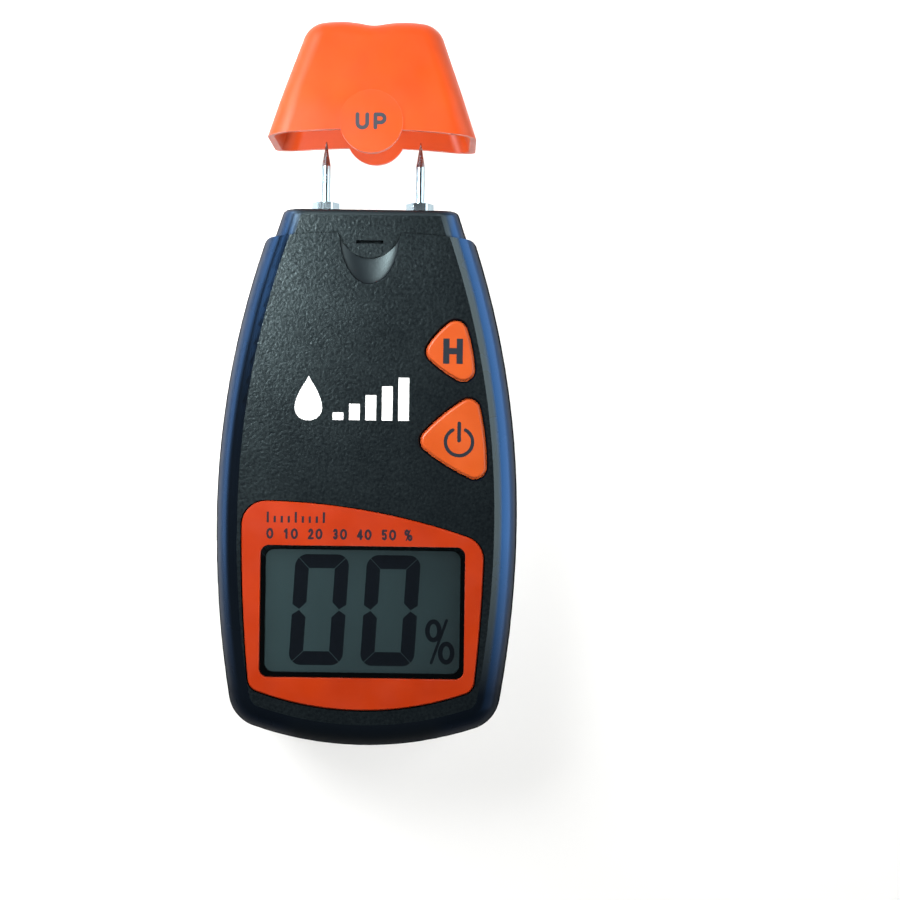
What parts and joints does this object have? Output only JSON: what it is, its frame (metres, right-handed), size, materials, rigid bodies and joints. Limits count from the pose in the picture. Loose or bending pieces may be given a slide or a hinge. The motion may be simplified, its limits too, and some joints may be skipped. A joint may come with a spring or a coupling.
{
  "type": "moisture meter",
  "caption": "Handheld two-pin moisture meter with a digital display, two keys, a sliding battery door and a pull-off cap over its pins",
  "frame": {"origin": "centre of the back face, halfway up the 115.6 mm housing", "axes": "+Z out of the display, +Y towards the pins, +X to the reader's right"},
  "size_m": [0.065, 0.157, 0.0258],
  "materials": {
    "shell": "fine texture",
    "door": "fine texture",
    "surround": "satin",
    "key": "satin",
    "cap": "satin",
    "window": "clear",
    "lcd_glass": "clear",
    "polarizer": "satin",
    "black_plastic": "satin",
    "zebra": "matte",
    "board": "solder mask",
    "ceramic": "matte",
    "metal_can": "satin",
    "trimmer": "matte",
    "steel": "polished",
    "brass": "machined",
    "insulator": "matte",
    "lead_red": "satin",
    "lead_black": "satin",
    "cell": "gloss"
  },
  "bodies": {
    "meter": {"amplifier_chip": "black_plastic", "battery_cell_left": "cell", "battery_cell_right": "cell", "battery_lead_black": "lead_black", "battery_lead_red": "lead_red", "battery_link": "steel", "battery_springs": "steel", "battery_terminals": "steel", "board_screws": "steel", "buzzer": "black_plastic", "calibration_trimmers": "trimmer", "case_screws": "steel", "chip_capacitors": "ceramic", "chip_resistors": "ceramic", "circuit_board": "board", "controller_chip": "black_plastic", "crystal": "metal_can", "display_surround": "surround", "display_window": "window", "electrode_block": "insulator", "electrode_lead_left": "lead_red", "electrode_lead_right": "lead_black", "electrode_nuts": "steel", "electrode_pin_left": "steel", "electrode_pin_right": "steel", "electrode_socket_left": "brass", "electrode_socket_right": "brass", "front_shell": "shell", "lcd_frame": "black_plastic", "lcd_front_glass": "lcd_glass", "lcd_front_polarizer": "polarizer", "lcd_rear_glass": "lcd_glass", "lcd_rear_polarizer": "polarizer", "rear_shell": "shell", "smoothing_capacitor": "metal_can", "solder_tags": "brass", "switch_bodies": "black_plastic", "zebra_strips": "zebra"},
    "cap": {"pin_cap": "cap"},
    "hold_button": {"hold_key": "key", "hold_switch_plunger": "black_plastic"},
    "power_button": {"power_key": "key", "power_switch_plunger": "black_plastic"},
    "battery_hatch": {"battery_door": "door"}
  },
  "joints": [
    {"name": "cap_slide", "type": "slide", "parent": "meter", "child": "cap", "axis": [0, 1, 0], "range_m": [-0.022, 0]},
    {"name": "hold_key_press", "type": "slide", "parent": "meter", "child": "hold_button", "axis": [0, 0, -1], "range_m": [0, 0.0005], "stiffness_N_per_m": 200, "springref_m": -0.001},
    {"name": "power_key_press", "type": "slide", "parent": "meter", "child": "power_button", "axis": [0, 0, -1], "range_m": [0, 0.0005], "stiffness_N_per_m": 200, "springref_m": -0.001},
    {"name": "battery_door_slide", "type": "slide", "parent": "meter", "child": "battery_hatch", "axis": [0, -1, 0], "range_m": [0, 0.058]}
  ]
}
